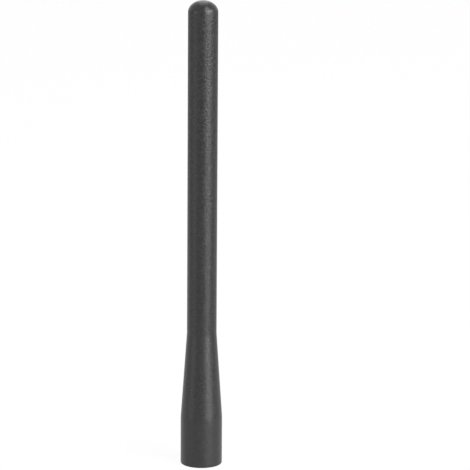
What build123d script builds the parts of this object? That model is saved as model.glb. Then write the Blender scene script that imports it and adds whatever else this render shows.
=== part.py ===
from build123d import *

import os
from math import radians, sqrt, tan

# Short car mast aerial. A moulded rubber sheath covers a copper winding on a core rod, and a brass
# ferrule in the base carries them and takes the vehicle's stud in a threaded socket.
# Millimetres, +Z up the mast, origin at the centre of the base's seat face.

# Rubber sheath
mast_length = 114.0
base_diameter = 10.1
collar_height = 11.8
flare_height = 20.9
rod_diameter = 7.2
dome_height = 2.8
base_edge_radius = 0.4
shoulder_blend_radius = 20.0
neck_blend_radius = 8.0
tip_cover = 6.0  # rubber between the core's end and the top of the dome

# Brass ferrule, bored for an M6 thread
ferrule_diameter = 7.8
ferrule_recess = 0.3  # the brass stands back from the seat face, so that the rubber seals first
ferrule_chamfer = 0.3
thread_diameter = 6.0
thread_pitch = 1.0
thread_depth = 9.5
thread_mouth_chamfer = 0.2  # beyond the thread's own diameter
drill_point_angle = 118.0
web_thickness = 1.5  # solid brass between the drill point and the core's seat
barrel_length = 13.0
spigot_diameter = 5.0
knurl_count = 18
knurl_start = 2.0
knurl_height = 6.0
knurl_depth = 0.3
key_groove_width = 1.4
key_groove_depth = 0.5
key_groove_from_shoulder = 1.0

# Core rod
core_diameter = 3.0
core_seat_depth = 7.0
core_chamfer = 0.25

# Copper winding: open turns above the ferrule, then closely wound turns up to the tip
wire_diameter = 0.6
wire_sides = 8  # round wire drawn with flats, which keeps its many turns light
winding_clearance = 0.05  # around the wire, against the core, the sleeve and the turns beside it
open_pitch = 2.4
open_turns = 2.5
bare_core_length = 1.5  # core left bare above the last turn

# Solder joint
solder_width = 0.8
solder_height = 1.0

# Heat-shrink sleeve
sleeve_wall = 0.3
sleeve_shrink_length = 3.0  # where it necks down from the spigot to the turns

# Derived sizes
base_radius = base_diameter / 2
rod_radius = rod_diameter / 2
neck_height = collar_height + flare_height
dome_start = mast_length - dome_height
ellipse_handle = 4 / 3 * (sqrt(2) - 1)  # makes a cubic curve follow a quarter of an ellipse

ferrule_radius = ferrule_diameter / 2
spigot_radius = spigot_diameter / 2
tapped_radius = (thread_diameter - thread_pitch) / 2
mouth_radius = thread_diameter / 2 + thread_mouth_chamfer
drill_point_height = tapped_radius / tan(radians(drill_point_angle / 2))
thread_end = ferrule_recess + thread_depth
core_seat = thread_end + drill_point_height + web_thickness
spigot_top = core_seat + core_seat_depth
shoulder_height = ferrule_recess + barrel_length
key_groove_top = shoulder_height - key_groove_from_shoulder

core_radius = core_diameter / 2
core_top = mast_length - tip_cover

wire_radius = wire_diameter / 2
turn_radius = core_radius + winding_clearance + wire_radius
winding_outer_radius = turn_radius + wire_radius + winding_clearance
winding_start = spigot_top + wire_radius + winding_clearance
open_height = open_turns * open_pitch
close_start = winding_start + open_height
close_top = core_top - bare_core_length
wire_tail = open_pitch / 4  # the open turns run a quarter turn into the close ones

sleeve_bore_radius = winding_outer_radius + winding_clearance


def ferrule_outline():
    """Half-section of the turned ferrule before it is bored, with its key groove."""
    groove_radius = ferrule_radius - key_groove_depth
    Polyline(
        (0, ferrule_recess),
        (ferrule_radius - ferrule_chamfer, ferrule_recess),
        (ferrule_radius, ferrule_recess + ferrule_chamfer),
        (ferrule_radius, key_groove_top - key_groove_width),
        (groove_radius, key_groove_top - key_groove_width),
        (groove_radius, key_groove_top),
        (ferrule_radius, key_groove_top),
        (ferrule_radius, shoulder_height - ferrule_chamfer),
        (ferrule_radius - ferrule_chamfer, shoulder_height),
        (spigot_radius, shoulder_height),
        (spigot_radius, spigot_top),
        (0, spigot_top),
        close=True,
    )


def sleeve_outline(wall):
    """Half-section of the space inside the shrink sleeve, grown outwards by the wall."""
    Polyline(
        (0, shoulder_height),
        (spigot_radius + wall, shoulder_height),
        (spigot_radius + wall, spigot_top),
        (sleeve_bore_radius + wall, spigot_top + sleeve_shrink_length),
        (sleeve_bore_radius + wall, core_top),
        (0, core_top),
        close=True,
    )


# Ferrule blank: the turned and knurled outside, which the rubber is moulded on to
with BuildPart() as ferrule_blank:
    with BuildSketch(Plane.XZ):
        with BuildLine():
            ferrule_outline()
        make_face()
    revolve(axis=Axis.Z)
    with BuildSketch(Plane.XY.offset(ferrule_recess + knurl_start)):
        with PolarLocations(ferrule_radius, knurl_count):
            # A square-cornered V whose mouth stands outside the barrel
            Polygon(
                (-knurl_depth, 0),
                (knurl_depth, -2 * knurl_depth),
                (knurl_depth, 2 * knurl_depth),
                align=None,
            )
    extrude(amount=knurl_height, mode=Mode.SUBTRACT)

# Base ferrule: the blank with its tapped hole below and the core's socket above
with BuildPart() as base_ferrule:
    add(ferrule_blank.part)
    with BuildSketch(Plane.XZ):
        with BuildLine():
            Polyline(
                (0, ferrule_recess),
                (mouth_radius, ferrule_recess),
                (tapped_radius, ferrule_recess + mouth_radius - tapped_radius),
                (tapped_radius, thread_end),
                (0, thread_end + drill_point_height),
                close=True,
            )
        make_face()
    revolve(axis=Axis.Z, mode=Mode.SUBTRACT)
    with BuildSketch(Plane.XY.offset(core_seat)):
        Circle(core_radius)
    extrude(amount=core_seat_depth, mode=Mode.SUBTRACT)

# Core rod
with BuildPart() as core_rod:
    with BuildSketch(Plane.XY.offset(core_seat)):
        Circle(core_radius)
    extrude(amount=core_top - core_seat)
    chamfer(core_rod.edges().filter_by(GeomType.CIRCLE), core_chamfer)

# Winding: the open turns are the wire itself, and the close turns are one sleeve of copper
with BuildPart() as winding:
    with BuildLine() as open_path:
        Helix(open_pitch, open_height + wire_tail, turn_radius, center=(0, 0, winding_start))
    with BuildSketch(Plane(open_path.line @ 0, z_dir=open_path.line % 0)):
        RegularPolygon(wire_radius, wire_sides)
    sweep(is_frenet=True)
    with BuildSketch(Plane.XY.offset(close_start)):
        Circle(winding_outer_radius)
        Circle(core_radius, mode=Mode.SUBTRACT)
    extrude(amount=close_top - close_start)

# Solder joint: a fillet round the core on the ferrule's end face, run round the wire's lower end
with BuildPart() as solder_joint:
    with BuildSketch(Plane.XZ):
        with BuildLine():
            Polyline(
                (core_radius, spigot_top),
                (core_radius + solder_width, spigot_top),
                (core_radius, spigot_top + solder_height),
                close=True,
            )
        make_face()
    revolve(axis=Axis.Z)
    add(winding.part, mode=Mode.SUBTRACT)

# Shrink sleeve
with BuildPart() as shrink_sleeve:
    with BuildSketch(Plane.XZ):
        with BuildLine():
            sleeve_outline(sleeve_wall)
        make_face()
        with BuildLine():
            sleeve_outline(0)
        make_face(mode=Mode.SUBTRACT)
    revolve(axis=Axis.Z)

# Rubber sheath: straight collar, conical flare, plain rod and domed tip, moulded round the rest
with BuildPart() as rubber_sheath:
    with BuildSketch(Plane.XZ):
        with BuildLine():
            FilletPolyline(
                (0, 0),
                (base_radius, 0),
                (base_radius, collar_height),
                (rod_radius, neck_height),
                (rod_radius, dome_start),
                radius=[base_edge_radius, shoulder_blend_radius, neck_blend_radius],
            )
            Bezier(
                (rod_radius, dome_start),
                (rod_radius, dome_start + ellipse_handle * dome_height),
                (ellipse_handle * rod_radius, mast_length),
                (0, mast_length),
            )
            Line((0, mast_length), (0, 0))
        make_face()
    revolve(axis=Axis.Z)
    add(ferrule_blank.part, mode=Mode.SUBTRACT)
    with BuildSketch(Plane.XY):
        Circle(ferrule_radius)
    extrude(amount=ferrule_recess + ferrule_chamfer, mode=Mode.SUBTRACT)
    with BuildSketch(Plane.XZ):
        with BuildLine():
            sleeve_outline(sleeve_wall)
        make_face()
    revolve(axis=Axis.Z, mode=Mode.SUBTRACT)

os.makedirs("parts", exist_ok=True)
pieces = {
    "rubber_sheath": rubber_sheath,
    "base_ferrule": base_ferrule,
    "core_rod": core_rod,
    "winding": winding,
    "solder_joint": solder_joint,
    "shrink_sleeve": shrink_sleeve,
}
for name, piece in pieces.items():
    piece.part.label = name
    export_step(piece.part, f"parts/{name}.step")
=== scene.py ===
import math

import bpy
from mathutils import Matrix, Vector


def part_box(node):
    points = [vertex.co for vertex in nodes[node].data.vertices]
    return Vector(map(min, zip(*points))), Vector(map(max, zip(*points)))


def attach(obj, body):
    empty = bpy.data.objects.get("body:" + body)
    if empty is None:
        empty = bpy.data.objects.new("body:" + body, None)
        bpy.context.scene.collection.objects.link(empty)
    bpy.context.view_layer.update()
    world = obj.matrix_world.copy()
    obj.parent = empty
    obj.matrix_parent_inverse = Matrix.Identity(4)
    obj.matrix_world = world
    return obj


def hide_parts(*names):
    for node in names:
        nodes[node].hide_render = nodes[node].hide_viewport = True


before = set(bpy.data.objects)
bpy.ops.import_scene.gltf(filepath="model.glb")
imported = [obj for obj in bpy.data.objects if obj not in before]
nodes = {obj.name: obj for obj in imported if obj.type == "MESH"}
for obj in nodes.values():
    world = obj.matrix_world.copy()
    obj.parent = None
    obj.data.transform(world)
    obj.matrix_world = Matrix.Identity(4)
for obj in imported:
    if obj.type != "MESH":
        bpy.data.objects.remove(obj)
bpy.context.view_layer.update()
mm = 0.001  # the sizes below are in millimetres, Blender's are in metres
weldGap = 0.0005  # points closer than this are merged
closeBy = 0.01  # how near a point is to a surface that it belongs to
print("frame loaded:", ", ".join(sorted(nodes)))

# where the CAD pieces lie, read from their boxes
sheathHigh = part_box("rubber_sheath")[1]
ferruleLow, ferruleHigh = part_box("base_ferrule")
sleeveLow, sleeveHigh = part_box("shrink_sleeve")
coreLow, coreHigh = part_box("core_rod")
windingLow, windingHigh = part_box("winding")


# small helpers for modelling

def deselectAll():
    if bpy.context.object and bpy.context.object.mode != "OBJECT":
        bpy.ops.object.mode_set(mode="OBJECT")
    bpy.ops.object.select_all(action="DESELECT")


def makeActive(piece):
    deselectAll()
    piece.select_set(True)
    bpy.context.view_layer.objects.active = piece


def roundCorner(before, corner, after, radius, count):
    # points of the arc that rounds a corner of an outline
    before, corner, after = Vector(before), Vector(corner), Vector(after)
    toBefore = (before - corner).normalized()
    toAfter = (after - corner).normalized()
    halfAngle = toBefore.angle(toAfter) / 2
    reach = radius / math.tan(halfAngle)
    centre = corner + (toBefore + toAfter).normalized() * (radius / math.sin(halfAngle))
    start = corner + toBefore * reach - centre
    sweep = start.angle_signed(corner + toAfter * reach - centre)
    return [tuple(centre + Matrix.Rotation(-sweep * i / count, 2) @ start) for i in range(count + 1)]


def fillSpans(outline, longest):
    # cuts the long straight runs of an outline into even steps
    filled = [outline[0]]
    for here, there in zip(outline, outline[1:]):
        parts = max(1, math.ceil((Vector(there) - Vector(here)).length / longest))
        filled += [tuple(Vector(here).lerp(Vector(there), i / parts)) for i in range(1, parts + 1)]
    return filled


def spinOutline(name, outline, steps):
    # a single point, drawn out along the outline and spun round the mast's axis
    deselectAll()
    bpy.ops.mesh.primitive_plane_add(size=mm)
    piece = bpy.context.object
    piece.name = name
    piece.data.name = name
    bpy.ops.object.mode_set(mode="EDIT")
    bpy.ops.mesh.select_all(action="SELECT")
    bpy.ops.mesh.merge(type="CENTER")
    bpy.ops.transform.translate(value=(outline[0][0], 0, outline[0][1]))
    for here, there in zip(outline, outline[1:]):
        step = (there[0] - here[0], 0, there[1] - here[1])
        bpy.ops.mesh.extrude_region_move(TRANSFORM_OT_translate={"value": step})
    bpy.ops.mesh.select_all(action="SELECT")
    bpy.ops.mesh.spin(steps=steps, angle=2 * math.pi, center=(0, 0, 0), axis=(0, 0, 1))
    bpy.ops.mesh.select_all(action="SELECT")
    bpy.ops.mesh.remove_doubles(threshold=weldGap * mm)
    bpy.ops.mesh.normals_make_consistent(inside=False)
    bpy.ops.object.mode_set(mode="OBJECT")
    return piece


def smoothPiece(piece, degrees):
    makeActive(piece)
    bpy.ops.object.shade_smooth_by_angle(angle=math.radians(degrees))


# shader groups that several finishes share

def newGroup(name, inputs, outputs):
    group = bpy.data.node_groups.new(name, "ShaderNodeTree")
    for label, kind, value in inputs:
        socket = group.interface.new_socket(label, in_out="INPUT", socket_type=kind)
        if value is not None:
            socket.default_value = value
    for label, kind in outputs:
        group.interface.new_socket(label, in_out="OUTPUT", socket_type=kind)
    start = group.nodes.new("NodeGroupInput")
    end = group.nodes.new("NodeGroupOutput")
    return group, start, end


def addNode(tree, kind, settings=None, values=None):
    node = tree.nodes.new(kind)
    for key, value in (settings or {}).items():
        setattr(node, key, value)
    for key, value in (values or {}).items():
        node.inputs[key].default_value = value
    return node


grainNoise = {
    "coarseDetail": 2.0,
    "fineDetail": 1.0,
    "roughness": 0.5,
    "maskRange": (0.32, 0.68),   # levels of the coarse noise that make the mask 0 and 1
}


def makeGrainGroup():
    # pebbled grain in two sizes: Height for bump, Mask from 0 to 1 for colour and roughness
    group, start, end = newGroup(
        "mouldedGrain",
        [
            ("Vector", "NodeSocketVector", None),
            ("Scale", "NodeSocketFloat", 1500.0),
            ("Fine Scale", "NodeSocketFloat", 5000.0),
            ("Fine Share", "NodeSocketFloat", 0.4),
        ],
        [("Height", "NodeSocketFloat"), ("Mask", "NodeSocketFloat")],
    )
    link = group.links.new
    look = grainNoise
    noise, roughness = "ShaderNodeTexNoise", look["roughness"]
    coarse = addNode(group, noise, values={"Detail": look["coarseDetail"], "Roughness": roughness})
    fine = addNode(group, noise, values={"Detail": look["fineDetail"], "Roughness": roughness})
    both = addNode(group, "ShaderNodeMix", {"data_type": "FLOAT"})
    maskFrom, maskTo = look["maskRange"]
    spread = addNode(group, "ShaderNodeMapRange", values={"From Min": maskFrom, "From Max": maskTo})
    link(start.outputs["Vector"], coarse.inputs["Vector"])
    link(start.outputs["Vector"], fine.inputs["Vector"])
    link(start.outputs["Scale"], coarse.inputs["Scale"])
    link(start.outputs["Fine Scale"], fine.inputs["Scale"])
    link(start.outputs["Fine Share"], both.inputs[0])
    link(coarse.outputs["Fac"], both.inputs[2])
    link(fine.outputs["Fac"], both.inputs[3])
    link(both.outputs[0], end.inputs["Height"])
    link(coarse.outputs["Fac"], spread.inputs["Value"])
    link(spread.outputs["Result"], end.inputs["Mask"])
    return group


turningNoise = {"detail": 3.0, "roughness": 0.7}


def makeTurningGroup():
    # fine tool marks that run round the mast's axis, as a lathe or a drawing die leaves them
    group, start, end = newGroup(
        "turningMarks",
        [
            ("Vector", "NodeSocketVector", None),
            ("Marks", "NodeSocketFloat", 9000.0),
        ],
        [("Height", "NodeSocketFloat")],
    )
    link = group.links.new
    parts = addNode(group, "ShaderNodeSeparateXYZ")
    flat = addNode(group, "ShaderNodeCombineXYZ")
    radius = addNode(group, "ShaderNodeVectorMath", {"operation": "LENGTH"})
    along = addNode(group, "ShaderNodeMath", {"operation": "ADD"})
    marks = addNode(
        group,
        "ShaderNodeTexNoise",
        {"noise_dimensions": "1D"},
        {"Detail": turningNoise["detail"], "Roughness": turningNoise["roughness"]},
    )
    link(start.outputs["Vector"], parts.inputs["Vector"])
    link(parts.outputs["X"], flat.inputs["X"])
    link(parts.outputs["Y"], flat.inputs["Y"])
    link(flat.outputs["Vector"], radius.inputs[0])
    link(radius.outputs["Value"], along.inputs[0])
    link(parts.outputs["Z"], along.inputs[1])
    link(along.outputs["Value"], marks.inputs["W"])
    link(start.outputs["Marks"], marks.inputs["Scale"])
    link(marks.outputs["Fac"], end.inputs["Height"])
    return group


grainGroup = makeGrainGroup()
turningGroup = makeTurningGroup()
print("shader groups built")


# finishes

def newFinish(name, settings):
    # a material with its Principled shader set, its Object coordinates and an empty bump ready
    finish = bpy.data.materials.new(name)
    finish.use_nodes = True
    tree = finish.node_tree
    shader = tree.nodes["Principled BSDF"]
    for socket, value in settings.items():
        shader.inputs[socket].default_value = value
    place = addNode(tree, "ShaderNodeTexCoord")
    bump = addNode(tree, "ShaderNodeBump")
    tree.links.new(bump.outputs["Normal"], shader.inputs["Normal"])
    return finish, tree, shader, place, bump


def addGroup(tree, group, vector, values):
    node = addNode(tree, "ShaderNodeGroup", {"node_tree": group}, values)
    tree.links.new(vector, node.inputs["Vector"])
    return node


def mixColours(tree, mask, low, high):
    mix = addNode(tree, "ShaderNodeMix", {"data_type": "RGBA"})
    mix.inputs[6].default_value = (*low, 1)
    mix.inputs[7].default_value = (*high, 1)
    tree.links.new(mask, mix.inputs[0])
    return mix.outputs[2]


def mapValue(tree, value, low, high, fromLow=0.0, fromHigh=1.0):
    node = addNode(
        tree,
        "ShaderNodeMapRange",
        values={"From Min": fromLow, "From Max": fromHigh, "To Min": low, "To Max": high},
    )
    tree.links.new(value, node.inputs["Value"])
    return node.outputs["Result"]


def addValues(tree, first, *others):
    total = first
    for value in others:
        node = addNode(tree, "ShaderNodeMath", {"operation": "ADD"})
        tree.links.new(total, node.inputs[0])
        tree.links.new(value, node.inputs[1])
        total = node.outputs["Value"]
    return total


def tintByMask(tree, shader, mask, look, low, high):
    # colour and roughness that go from the first to the second with the mask
    tree.links.new(mixColours(tree, mask, look[low], look[high]), shader.inputs["Base Color"])
    tree.links.new(mapValue(tree, mask, *look["roughness"]), shader.inputs["Roughness"])


def setRelief(tree, bump, height, depth):
    tree.links.new(height, bump.inputs["Height"])
    bump.inputs["Distance"].default_value = depth * mm


def addPatches(tree, vector, look, scale="patchScale"):
    return addGroup(tree, grainGroup, vector, {"Scale": look[scale], "Fine Scale": look["fineScale"]})


rubberFinish = {
    # the grain's colour pairs, for the rod and for the collar: the grain's random tone, with the dark
    # colour in the grain's valleys as painted shade
    "darkColour": (0.0030, 0.0030, 0.0030),
    "paleColour": (0.0180, 0.0180, 0.0180),
    "collarDark": (0.0115, 0.0115, 0.0115),   # the collar's skin is duller and a little paler
    "collarPale": (0.0180, 0.0180, 0.0180),
    "refraction": 1.49,
    "roughness": (0.29, 0.36),
    "flareRoughness": 0.05,   # added to the roughness low down, and again on the collar
    "collarRoughness": 0.015,
    "tipPolish": 0.07,   # taken off it on the domed tip, which hands and brushes rub smooth
    "grainScale": 2300.0,
    "fineScale": 6000.0,
    "fineShare": 0.3,
    "grainStretch": (0.65, 0.65, 1.35),   # the grain lies round the mast
    "grainDepth": 0.20,   # mm, on the upper rod
    "grainMiddle": 0.5,   # the grain's mean height
    "collarGrain": 0.084,   # how much of the grain the collar keeps, then the flare and the tip
    "flareGrain": 0.32,
    "tipGrain": 0.245,
    "grainStarts": (11.2, 12.2),   # mm up the mast, across the shoulder
    "grainGrows": (25.0, 100.0),
    "tipStarts": (111.0, 111.6),
}


def makeRubber():
    look = rubberFinish
    finish, tree, shader, place, bump = newFinish("blackRubber", {"IOR": look["refraction"]})
    link = tree.links.new
    stretch = addNode(tree, "ShaderNodeMapping", values={"Scale": look["grainStretch"]})
    link(place.outputs["Object"], stretch.inputs["Vector"])
    grain = addGroup(
        tree,
        grainGroup,
        stretch.outputs["Vector"],
        {"Scale": look["grainScale"], "Fine Scale": look["fineScale"], "Fine Share": look["fineShare"]},
    )
    # each goes from 0 to 1 up the mast: above the collar, along the rod and on the tip
    height = addNode(tree, "ShaderNodeSeparateXYZ")
    link(place.outputs["Object"], height.inputs["Vector"])
    above, along, tip = (
        mapValue(tree, height.outputs["Z"], 0.0, 1.0, *(level * mm for level in look[reach]))
        for reach in ("grainStarts", "grainGrows", "tipStarts")
    )
    mask = grain.outputs["Mask"]
    # the grain's mask follows its height, so the dark colour lies in the valleys: painted shade there,
    # besides the grain's random tone
    colour = addNode(tree, "ShaderNodeMix", {"data_type": "RGBA"})
    link(above, colour.inputs[0])
    link(mixColours(tree, mask, look["collarDark"], look["collarPale"]), colour.inputs[6])
    link(mixColours(tree, mask, look["darkColour"], look["paleColour"]), colour.inputs[7])
    link(colour.outputs[2], shader.inputs["Base Color"])
    dull = addValues(
        tree,
        mapValue(tree, mask, *look["roughness"]),
        mapValue(tree, along, look["flareRoughness"], 0.0),
        mapValue(tree, above, look["collarRoughness"], 0.0),
        mapValue(tree, tip, 0.0, -look["tipPolish"]),
    )
    link(dull, shader.inputs["Roughness"])
    # the grain's height is centred on 0, so that the skin has no step where the grain fades out
    centred = addNode(tree, "ShaderNodeMath", {"operation": "SUBTRACT"})
    centred.inputs[1].default_value = look["grainMiddle"]
    link(grain.outputs["Height"], centred.inputs[0])
    relief = addNode(tree, "ShaderNodeMath", {"operation": "MULTIPLY"})
    share = addValues(
        tree,
        mapValue(tree, above, look["collarGrain"], look["flareGrain"]),
        mapValue(tree, along, 0.0, 1 - look["flareGrain"]),
        mapValue(tree, tip, 0.0, look["tipGrain"] - 1),
    )
    link(centred.outputs["Value"], relief.inputs[0])
    link(share, relief.inputs[1])
    setRelief(tree, bump, relief.outputs["Value"], look["grainDepth"])
    return finish


brassFinish = {
    "cleanColour": (0.72, 0.50, 0.20),
    "dullColour": (0.56, 0.37, 0.14),
    "roughness": (0.20, 0.36),
    "patchScale": 700.0,
    "fineScale": 2600.0,
    "markScale": 16000.0,
    "markDepth": 0.004,
}


def makeBrass():
    look = brassFinish
    finish, tree, shader, place, bump = newFinish("turnedBrass", {"Metallic": 1.0})
    patches = addPatches(tree, place.outputs["Object"], look)
    marks = addGroup(tree, turningGroup, place.outputs["Object"], {"Marks": look["markScale"]})
    tintByMask(tree, shader, patches.outputs["Mask"], look, "cleanColour", "dullColour")
    setRelief(tree, bump, marks.outputs["Height"], look["markDepth"])
    return finish


copperFinish = {
    "brightColour": (0.62, 0.22, 0.075),
    "deepColour": (0.42, 0.125, 0.04),
    "roughness": (0.18, 0.30),
    "patchScale": 500.0,
    "fineScale": 3000.0,
    "markScale": 9000.0,
    "markDepth": 0.002,
    "enamel": 0.6,
    "enamelRoughness": 0.12,
}


def makeCopper():
    look = copperFinish
    finish, tree, shader, place, bump = newFinish(
        "enamelledCopper",
        {"Metallic": 1.0, "Coat Weight": look["enamel"], "Coat Roughness": look["enamelRoughness"]},
    )
    patches = addPatches(tree, place.outputs["Object"], look)
    marks = addGroup(tree, turningGroup, place.outputs["Object"], {"Marks": look["markScale"]})
    tintByMask(tree, shader, patches.outputs["Mask"], look, "brightColour", "deepColour")
    setRelief(tree, bump, marks.outputs["Height"], look["markDepth"])
    return finish


solderFinish = {
    "brightColour": (0.62, 0.62, 0.60),
    "dullColour": (0.40, 0.40, 0.39),
    "roughness": (0.22, 0.45),
    "patchScale": 1800.0,
    "fineScale": 6000.0,
    "rippleDepth": 0.02,
}


def makeSolder():
    look = solderFinish
    finish, tree, shader, place, bump = newFinish("brightSolder", {"Metallic": 1.0})
    ripples = addPatches(tree, place.outputs["Object"], look)
    tintByMask(tree, shader, ripples.outputs["Mask"], look, "brightColour", "dullColour")
    setRelief(tree, bump, ripples.outputs["Height"], look["rippleDepth"])
    return finish


fibreglassFinish = {
    "resinColour": (0.60, 0.56, 0.36),
    "fibreColour": (0.74, 0.72, 0.56),
    "refraction": 1.5,
    "roughness": (0.32, 0.50),
    "strandScale": 5200.0,
    "fineScale": 15000.0,
    "strandStretch": 0.02,   # scale along the rod, small so that the strands run long
    "strandDepth": 0.006,
}


def makeFibreglass():
    look = fibreglassFinish
    finish, tree, shader, place, bump = newFinish("fibreglassRod", {"IOR": look["refraction"]})
    stretch = addNode(tree, "ShaderNodeMapping", values={"Scale": (1, 1, look["strandStretch"])})
    tree.links.new(place.outputs["Object"], stretch.inputs["Vector"])
    strands = addPatches(tree, stretch.outputs["Vector"], look, "strandScale")
    tintByMask(tree, shader, strands.outputs["Mask"], look, "resinColour", "fibreColour")
    setRelief(tree, bump, strands.outputs["Height"], look["strandDepth"])
    return finish


sleeveFinish = {
    "darkColour": (0.022, 0.022, 0.024),
    "paleColour": (0.034, 0.034, 0.036),
    "refraction": 1.48,
    "roughness": (0.34, 0.46),
    "grainScale": 600.0,
    "fineScale": 3500.0,
    "rippleCount": 1515.0,   # ripples to the metre, one for each turn of wire beneath
    "rippleDepth": 0.02,
}


def makeSleeve():
    look = sleeveFinish
    finish, tree, shader, place, bump = newFinish("shrunkSleeve", {"IOR": look["refraction"]})
    link = tree.links.new
    grain = addPatches(tree, place.outputs["Object"], look, "grainScale")
    tintByMask(tree, shader, grain.outputs["Mask"], look, "darkColour", "paleColour")
    # the turns of wire show through the shrunk wall as fine ripples
    height = addNode(tree, "ShaderNodeSeparateXYZ")
    ripple = addNode(tree, "ShaderNodeMath", {"operation": "MULTIPLY"})
    ripple.inputs[1].default_value = look["rippleCount"] * 2 * math.pi
    wave = addNode(tree, "ShaderNodeMath", {"operation": "SINE"})
    link(place.outputs["Object"], height.inputs["Vector"])
    link(height.outputs["Z"], ripple.inputs[0])
    link(ripple.outputs["Value"], wave.inputs[0])
    setRelief(tree, bump, wave.outputs["Value"], look["rippleDepth"])
    return finish


# the brass ferrule: turned, knurled and tapped

ferrule = {
    "radius": ferruleHigh.x / mm,
    "bottom": ferruleLow.z / mm,
    "top": ferruleHigh.z / mm,
    "chamfer": 0.3,
    "boreRadius": 2.5,
    "boreEnd": 9.8,
    "drillTip": 11.3,
    "mouthRadius": 3.2,
    "threadRadius": 3.0,
    "threadPitch": 1.0,
    "threadFades": (8.3, 9.3),
    "ringsPerPitch": 12,
    "spigotRadius": 2.5,
    "socketRadius": coreHigh.x / mm,
    "socketFloor": coreLow.z / mm,
    "shoulder": sleeveLow.z / mm,
    "groove": (10.9, 12.3),
    "grooveRadius": 3.4,
    "knurl": (2.3, 8.3),
    "knurlCount": 18,
    "knurlDepth": 0.3,
    "knurlHalfWidth": 5.0,   # degrees
    "knurlNick": 0.002,   # height of the step at each end of the knurl
    "stepsPerGroove": 8,
    "smoothAngle": 25,
}
spinSteps = ferrule["knurlCount"] * ferrule["stepsPerGroove"]


def barrelOutline(gap=0.0):
    # the knurled barrel's side, from the bottom chamfer to the spigot, which the rubber follows too
    part = ferrule
    radius = part["radius"] + gap
    nick = part["knurlNick"]
    knurlLow, knurlHigh = part["knurl"]
    grooveLow, grooveHigh = part["groove"]
    return [
        (radius, part["bottom"] + part["chamfer"]),
        (radius, knurlLow - nick),
        (radius, knurlLow),
        (radius, knurlHigh),
        (radius, knurlHigh + nick),
        (radius, grooveLow - gap),
        (part["grooveRadius"] + gap, grooveLow - gap),
        (part["grooveRadius"] + gap, grooveHigh + gap),
        (radius, grooveHigh + gap),
        (radius, part["shoulder"] - part["chamfer"] + gap),
        (radius - part["chamfer"], part["shoulder"] + gap),
    ]


def cutKnurl(piece, gap=0.0):
    # presses the straight grooves of the knurl into the barrel's side
    part = ferrule
    low, high = part["knurl"]
    edge = part["knurlNick"] / 2
    pitch = 360 / part["knurlCount"]
    for vertex in piece.data.vertices:
        radius = math.hypot(vertex.co.x, vertex.co.y)
        onBarrel = abs(radius / mm - part["radius"] - gap) < closeBy
        if not onBarrel or not low - edge < vertex.co.z / mm < high + edge:
            continue
        angle = math.degrees(math.atan2(vertex.co.y, vertex.co.x)) % pitch
        away = min(angle, pitch - angle)
        depth = part["knurlDepth"] * max(0, 1 - away / part["knurlHalfWidth"])
        shrink = 1 - depth * mm / radius
        vertex.co.x *= shrink
        vertex.co.y *= shrink
    piece.data.update()


def threadDepth(angle, height):
    # M6 profile: crest for a quarter of the pitch, root for an eighth, 60 degree flanks between
    part = ferrule
    turn = (height / part["threadPitch"] - angle / (2 * math.pi)) % 1
    crest, flank, root = 0.25, 0.3125, 0.125
    if turn < crest:
        share = 0
    elif turn < crest + flank:
        share = (turn - crest) / flank
    elif turn < crest + flank + root:
        share = 1
    else:
        share = (1 - turn) / flank
    fadeStart, fadeEnd = part["threadFades"]
    fade = min(1, max(0, (fadeEnd - height) / (fadeEnd - fadeStart)))
    return share * fade * (part["threadRadius"] - part["boreRadius"])


def cutThread(piece):
    part = ferrule
    for vertex in piece.data.vertices:
        radius = math.hypot(vertex.co.x, vertex.co.y) / mm
        height = vertex.co.z / mm
        inBore = part["boreRadius"] - closeBy < radius < part["mouthRadius"] + closeBy
        if not inBore or height > part["boreEnd"] - closeBy:
            continue
        angle = math.atan2(vertex.co.y, vertex.co.x)
        threaded = max(radius, part["boreRadius"] + threadDepth(angle, height))
        vertex.co.x *= threaded / radius
        vertex.co.y *= threaded / radius
    piece.data.update()


def makeFerrule():
    part = ferrule
    mouthTop = part["bottom"] + part["mouthRadius"] - part["boreRadius"]
    ringStep = part["threadPitch"] / part["ringsPerPitch"]
    bore = fillSpans(
        [
            (part["boreRadius"], part["boreEnd"]),
            (part["boreRadius"], mouthTop),
            (part["mouthRadius"], part["bottom"]),
        ],
        ringStep,
    )
    outline = [(0, part["drillTip"])] + bore
    outline += [(part["radius"] - part["chamfer"], part["bottom"])]
    outline += barrelOutline()
    outline += [
        (part["spigotRadius"], part["shoulder"]),
        (part["spigotRadius"], part["top"]),
        (part["socketRadius"], part["top"]),
        (part["socketRadius"], part["socketFloor"]),
        (0, part["socketFloor"]),
    ]
    piece = spinOutline("brassFerrule", [(r * mm, z * mm) for r, z in outline], spinSteps)
    cutKnurl(piece)
    cutThread(piece)
    smoothPiece(piece, part["smoothAngle"])
    return piece


brassFerrule = makeFerrule()
brassFerrule.data.materials.append(makeBrass())
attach(brassFerrule, "root")
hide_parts("base_ferrule")
print("ferrule turned, knurled and tapped:", len(brassFerrule.data.polygons), "faces")


# the rubber sheath, moulded over everything else

sheath = {
    "baseRadius": sheathHigh.x / mm,
    "length": sheathHigh.z / mm,
    "collarHeight": 11.8,
    "neckHeight": 32.7,
    "rodRadius": 3.6,
    "domeHeight": 2.8,
    "edgeRadius": 0.4,
    "shoulderBlend": 20.0,
    "neckBlend": 8.0,
    "edgeSteps": 6,
    "blendSteps": 6,
    "domeSteps": 16,
    "longestStep": 0.8,
    "moulding": 0.012,   # gap that keeps the rubber off the brass and the sleeve
    "sleeveNecks": 3.0,   # height over which the sleeve beneath narrows
    "sleeveRadius": 2.55,
    "smoothAngle": 30,
}


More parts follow.
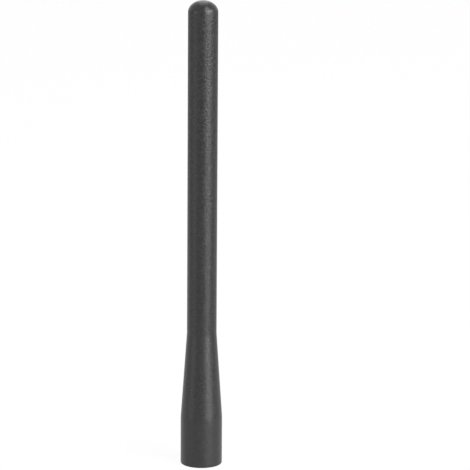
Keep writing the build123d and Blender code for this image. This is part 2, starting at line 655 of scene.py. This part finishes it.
def makeSheath():
    part = sheath
    gap = part["moulding"]
    domeFoot = part["length"] - part["domeHeight"]
    seatEdge = (ferrule["radius"] + gap, 0)
    baseCorner = (part["baseRadius"], 0)
    shoulder = (part["baseRadius"], part["collarHeight"])
    neck = (part["rodRadius"], part["neckHeight"])
    dome = []
    for step in range(part["domeSteps"] + 1):
        angle = math.pi / 2 * (1 - step / part["domeSteps"])
        radius = part["rodRadius"] * math.cos(angle) if step else 0
        dome.append((radius, domeFoot + part["domeHeight"] * math.sin(angle)))
    rodFoot = dome[-1]
    outside = dome
    outside += roundCorner(rodFoot, neck, shoulder, part["neckBlend"], part["blendSteps"])
    outside += roundCorner(neck, shoulder, baseCorner, part["shoulderBlend"], part["blendSteps"])
    outside += roundCorner(shoulder, baseCorner, seatEdge, part["edgeRadius"], part["edgeSteps"])
    inside = [seatEdge]
    inside += barrelOutline(gap)
    spigotSleeve = sleeveHigh.x / mm + gap
    thinSleeve = part["sleeveRadius"] + gap
    inside += [
        (spigotSleeve, ferrule["shoulder"] + gap),
        (spigotSleeve, ferrule["top"]),
        (thinSleeve, ferrule["top"] + part["sleeveNecks"]),
        (thinSleeve, coreHigh.z / mm + gap),
        (0, coreHigh.z / mm + gap),
    ]
    outline = fillSpans(outside, part["longestStep"]) + inside
    piece = spinOutline("rubberSheath", [(r * mm, z * mm) for r, z in outline], spinSteps)
    cutKnurl(piece, gap)
    smoothPiece(piece, part["smoothAngle"])
    return piece


rubberSheath = makeSheath()
rubberSheath.data.materials.append(makeRubber())
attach(rubberSheath, "root")
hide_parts("rubber_sheath")
print("sheath spun:", len(rubberSheath.data.polygons), "faces")


# the copper winding: open turns above the ferrule, then closely wound ones

wire = {
    "radius": 0.3,
    "turnRadius": 1.85,
    "openPitch": 2.4,
    "openTurns": 2.5,
    "closePitch": 0.66,
    "sides": 10,
    "stepsPerTurn": 22,
    "joinGap": 0.002,   # between the open turns' end and the close turns' start
    "smoothAngle": 50,
}


def windTurns(name, startAngle, startHeight, rise, turns):
    # the wire's round section, carried up and round the core by a Screw modifier
    radius = wire["turnRadius"] * mm
    deselectAll()
    bpy.ops.mesh.primitive_circle_add(
        vertices=wire["sides"],
        radius=wire["radius"] * mm,
        location=(radius * math.cos(startAngle), radius * math.sin(startAngle), startHeight * mm),
        rotation=(math.pi / 2, 0, startAngle),
    )
    piece = bpy.context.object
    piece.name = name
    piece.data.name = name
    bpy.ops.object.transform_apply(location=True, rotation=True, scale=True)
    screw = piece.modifiers.new("turns", "SCREW")
    screw.axis = "Z"
    screw.angle = 2 * math.pi * turns
    screw.screw_offset = rise * mm
    screw.steps = screw.render_steps = round(wire["stepsPerTurn"] * turns)
    bpy.ops.object.modifier_apply(modifier="turns")
    return piece


def makeWinding():
    start = windingLow.z / mm + wire["radius"]
    openRise = wire["openPitch"] * wire["openTurns"]
    closeRise = windingHigh.z / mm - wire["radius"] - start - openRise
    closeTurns = round(closeRise / wire["closePitch"])
    piece = windTurns("copperWinding", 0, start, openRise, wire["openTurns"])
    closeAngle = 2 * math.pi * wire["openTurns"]
    upper = windTurns("closeTurns", closeAngle, start + openRise, closeRise, closeTurns)
    makeActive(piece)
    upper.select_set(True)
    bpy.ops.object.join()
    bpy.ops.object.mode_set(mode="EDIT")
    bpy.ops.mesh.select_all(action="SELECT")
    bpy.ops.mesh.remove_doubles(threshold=wire["joinGap"] * mm)
    bpy.ops.mesh.select_mode(type="EDGE")
    bpy.ops.mesh.select_non_manifold(extend=False, use_wire=False, use_multi_face=False,
                                     use_non_contiguous=False, use_verts=False)
    bpy.ops.mesh.fill_holes(sides=wire["sides"])   # the wire's two cut ends
    bpy.ops.mesh.select_all(action="SELECT")
    bpy.ops.mesh.normals_make_consistent(inside=False)
    bpy.ops.object.mode_set(mode="OBJECT")
    smoothPiece(piece, wire["smoothAngle"])
    return piece, closeTurns


copperWinding, closeTurns = makeWinding()
copperWinding.data.materials.append(makeCopper())
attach(copperWinding, "root")
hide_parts("winding")
print("wire wound:", closeTurns, "close turns,", len(copperWinding.data.polygons), "faces")


# pieces that keep their CAD shape

nodes["core_rod"].material_slots[0].material = makeFibreglass()
nodes["solder_joint"].material_slots[0].material = makeSolder()
nodes["shrink_sleeve"].material_slots[0].material = makeSleeve()
print("core, solder and sleeve finished")


# floor, surroundings and lights

stageLook = {
    "floorSize": 12.0,
    "floorColour": (0.80, 0.80, 0.80, 1),
    "floorWhite": 0.90,   # how much of the floor's look is plain white, the rest keeps its soft shadow
    "whiteLevel": 1.06,   # with the rest of the floor's look this comes to 1, which is white
    "dimming": 0.6,   # how much duller the floor looks in a reflection, beyond its white paper
    "paperReach": (0.18, 0.48),   # metres from the mast to the sides, where the white fades
    "paperShape": (1.0, 0.6, 1.0),   # the paper reaches further to the front and back
    "skyLight": 0.15,   # light that the surroundings cast; they look white, which is 1
}


def addWhiteRays(tree):
    # 1 for what the camera, a reflection or a glass piece sees, 0 for light that falls on things
    path = addNode(tree, "ShaderNodeLightPath")
    seen = addNode(tree, "ShaderNodeMath", {"operation": "MAXIMUM"})
    either = addNode(tree, "ShaderNodeMath", {"operation": "MAXIMUM"})
    tree.links.new(path.outputs["Is Camera Ray"], seen.inputs[0])
    tree.links.new(path.outputs["Is Glossy Ray"], seen.inputs[1])
    tree.links.new(seen.outputs["Value"], either.inputs[0])
    tree.links.new(path.outputs["Is Transmission Ray"], either.inputs[1])
    return either.outputs["Value"]


def whiteStrength(tree):
    # the camera sees an even white; a reflection sees the floor grow duller away from the mast
    path = addNode(tree, "ShaderNodeLightPath")
    place = addNode(tree, "ShaderNodeTexCoord")
    shape = addNode(tree, "ShaderNodeMapping", values={"Scale": stageLook["paperShape"]})
    away = addNode(tree, "ShaderNodeVectorMath", {"operation": "LENGTH"})
    dulled = addNode(tree, "ShaderNodeMath", {"operation": "MULTIPLY"})
    tree.links.new(place.outputs["Object"], shape.inputs["Vector"])
    tree.links.new(shape.outputs["Vector"], away.inputs[0])
    beyond = mapValue(tree, away.outputs["Value"], 0.0, stageLook["dimming"], *stageLook["paperReach"])
    tree.links.new(beyond, dulled.inputs[0])
    tree.links.new(path.outputs["Is Glossy Ray"], dulled.inputs[1])
    return mapValue(tree, dulled.outputs["Value"], stageLook["whiteLevel"], 0.0)


def makeFloor():
    deselectAll()
    bpy.ops.mesh.primitive_plane_add(size=stageLook["floorSize"])
    floor = bpy.context.object
    floor.name = "floor"
    finish = bpy.data.materials.new("paleFloor")
    finish.use_nodes = True
    tree = finish.node_tree
    link = tree.links.new
    tree.nodes.remove(tree.nodes["Principled BSDF"])
    out = tree.nodes["Material Output"]
    paint = addNode(tree, "ShaderNodeBsdfDiffuse", values={"Color": stageLook["floorColour"]})
    glow = addNode(tree, "ShaderNodeEmission")
    share = addNode(tree, "ShaderNodeMath", {"operation": "MULTIPLY"})
    share.inputs[1].default_value = stageLook["floorWhite"]
    both = addNode(tree, "ShaderNodeMixShader")
    clear = addNode(tree, "ShaderNodeBsdfTransparent")
    side = addNode(tree, "ShaderNodeNewGeometry")
    shown = addNode(tree, "ShaderNodeMixShader")
    link(addWhiteRays(tree), share.inputs[0])
    link(share.outputs["Value"], both.inputs["Fac"])
    link(paint.outputs["BSDF"], both.inputs[1])
    link(whiteStrength(tree), glow.inputs["Strength"])
    link(glow.outputs["Emission"], both.inputs[2])
    link(side.outputs["Backfacing"], shown.inputs["Fac"])   # clear from below, to show the socket
    link(both.outputs["Shader"], shown.inputs[1])
    link(clear.outputs["BSDF"], shown.inputs[2])
    link(shown.outputs["Shader"], out.inputs["Surface"])
    floor.data.materials.append(finish)


def makeWorld():
    world = bpy.data.worlds.new("whiteStudio")
    world.use_nodes = True
    bpy.context.scene.world = world
    tree = world.node_tree
    back = tree.nodes["Background"]
    back.inputs["Color"].default_value = (1, 1, 1, 1)
    strength = mapValue(tree, addWhiteRays(tree), stageLook["skyLight"], 1.0)
    tree.links.new(strength, back.inputs["Strength"])


# softboxes face the mast's middle; a bearing is in degrees to the right of the camera's side,
# the lengths are in metres and the power in watts
softboxes = {
    "keySoftbox": {
        "bearing": 50, "distance": 1.0, "height": 0.52, "size": (1.10, 0.34), "power": 9.6,
    },
    "upperSoftbox": {
        "bearing": 47, "distance": 0.62, "height": 0.95, "size": (0.50, 0.50), "power": 2.67,
    },
    "lowStrip": {
        "bearing": 45, "distance": 1.0, "height": 0.06, "size": (0.62, 0.12), "power": 4.25,
    },
    "fillSoftbox": {
        "bearing": -60, "distance": 1.0, "height": 0.13, "size": (0.44, 0.26), "power": 1.25,
    },
    "topSoftbox": {
        "bearing": 180, "distance": 0.53, "height": 0.80, "size": (0.40, 1.00), "power": 1.25,
    },
}


def makeSoftbox(name, box):
    bearing = math.radians(box["bearing"])
    place = Vector((math.sin(bearing), -math.cos(bearing), 0)) * box["distance"]
    place.z = box["height"]
    deselectAll()
    bpy.ops.object.light_add(type="AREA", location=place)
    lamp = bpy.context.object
    lamp.name = name
    lamp.rotation_euler = (mastMiddle - place).to_track_quat("-Z", "Y").to_euler()
    lamp.data.shape = "RECTANGLE"
    lamp.data.size, lamp.data.size_y = box["size"]
    lamp.data.energy = box["power"]


mastMiddle = Vector((0, 0, sheathHigh.z / 2))
makeFloor()
makeWorld()
for name, box in softboxes.items():
    makeSoftbox(name, box)
print("stage lit")


# camera, at the photograph's angle

cameraPlace = {
    "distance": 0.8,
    "elevation": 12.5,
    "lens": 254.5,
    "sensor": 36.0,
    "sideStep": 7.9,   # mm to the right, because the mast stands left of the picture's middle
    "lift": 0.06,   # mm
    "roll": 0.375,
}


def makeCamera():
    place = cameraPlace
    rise = math.radians(place["elevation"])
    aim = mastMiddle + Vector((place["sideStep"], 0, place["lift"])) * mm
    back = Vector((0, -math.cos(rise), math.sin(rise)))
    deselectAll()
    bpy.ops.object.camera_add(location=aim + back * place["distance"])
    camera = bpy.context.object
    camera.name = "photographCamera"
    tilt = Matrix.Rotation(math.pi / 2 - rise, 3, "X")
    roll = Matrix.Rotation(math.radians(place["roll"]), 3, "Z")
    camera.rotation_euler = (tilt @ roll).to_euler()
    camera.data.lens = place["lens"]
    camera.data.sensor_width = place["sensor"]
    bpy.context.scene.camera = camera


makeCamera()
bpy.context.scene.view_settings.view_transform = "Standard"
print("camera placed")
